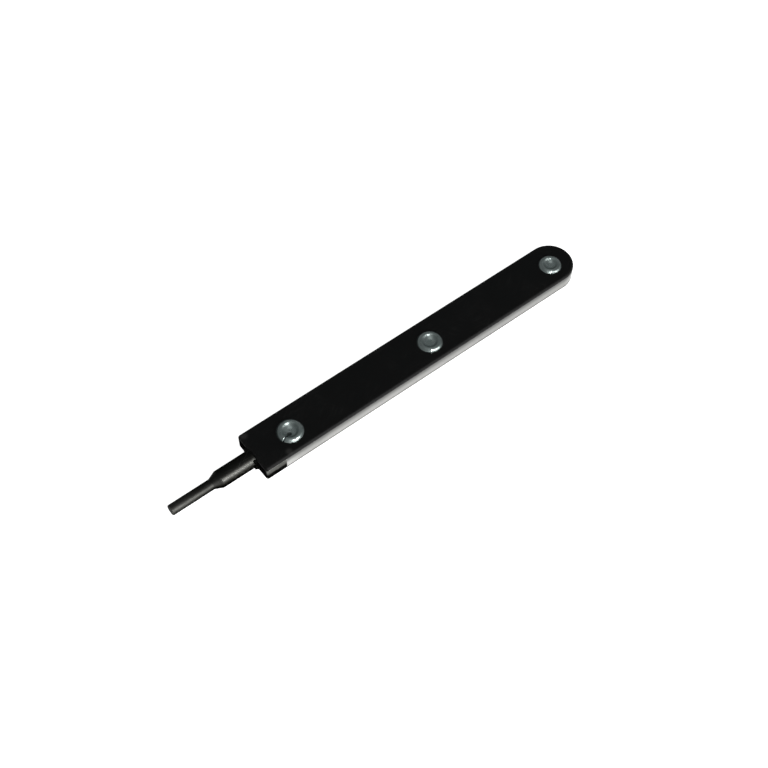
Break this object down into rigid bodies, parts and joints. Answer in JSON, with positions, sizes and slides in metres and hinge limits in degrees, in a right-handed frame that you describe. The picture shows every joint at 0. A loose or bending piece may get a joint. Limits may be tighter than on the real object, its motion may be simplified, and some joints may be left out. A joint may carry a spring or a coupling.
{
  "type": "spudger tool",
  "caption": "Slim bench spudger: a blackened stepped round steel probe in a flat black-scaled handle with a rounded butt and clinched rivets.",
  "frame": {"origin": "middle of the outer box, on the underside that the tool lies on", "axes": "+X from the tip to the rounded butt, +Y across the handle, +Z from the underside to the clinched side of the rivets"},
  "size_m": [0.129, 0.0126, 0.0056],
  "materials": {
    "blackened_steel": "black oxide, satin",
    "bright_steel": "ground bright edge",
    "black_scale": "smooth black laminate, semi-gloss",
    "rivet_steel": "plated, satin"
  },
  "bodies": {
    "root": {"shank": "blackened_steel", "left_bolster": "blackened_steel", "right_bolster": "blackened_steel", "handle_core": "bright_steel", "top_scale": "black_scale", "bottom_scale": "black_scale", "front_rivet": "rivet_steel", "middle_rivet": "rivet_steel", "rear_rivet": "rivet_steel"}
  },
  "joints": []
}
